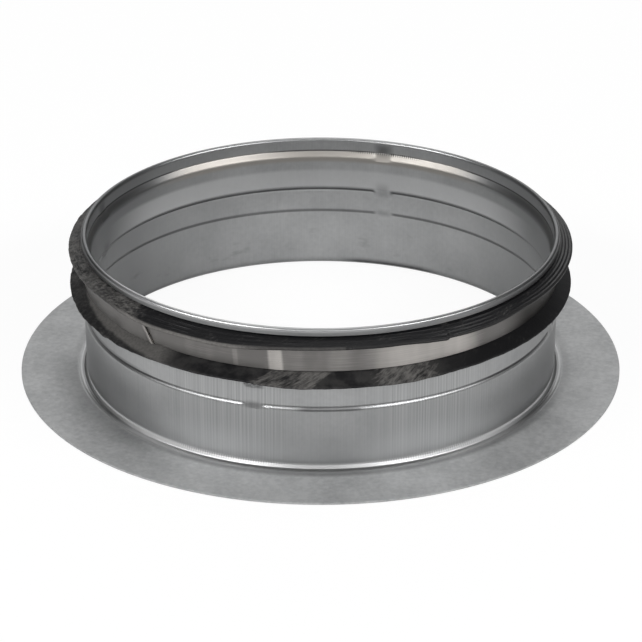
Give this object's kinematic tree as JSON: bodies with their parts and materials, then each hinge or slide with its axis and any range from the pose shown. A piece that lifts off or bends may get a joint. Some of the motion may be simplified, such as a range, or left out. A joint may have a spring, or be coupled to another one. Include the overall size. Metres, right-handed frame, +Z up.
{
  "type": "duct inlet pipe",
  "caption": "Short round duct inlet pipe pressed from galvanised sheet, with a flat mounting flange, a hemmed rim and a lipped rubber gasket held by a lapped steel band.",
  "frame": {"origin": "centre of the flange's underside, on the axis of the air passage", "axes": "+Z up along the air passage, away from the flange; -Y is the front that the picture shows"},
  "size_m": [0.2032, 0.2032, 0.0495],
  "materials": {
    "galvanised_sheet": "galvanised, satin, with fine drawing streaks up the wall",
    "black_rubber": "black, matt, dusty in places",
    "bright_strap": "bright rolled steel, satin"
  },
  "bodies": {
    "root": {"flanged_collar": "galvanised_sheet", "lip_gasket": "black_rubber", "clamp_band": "bright_strap"}
  },
  "joints": []
}
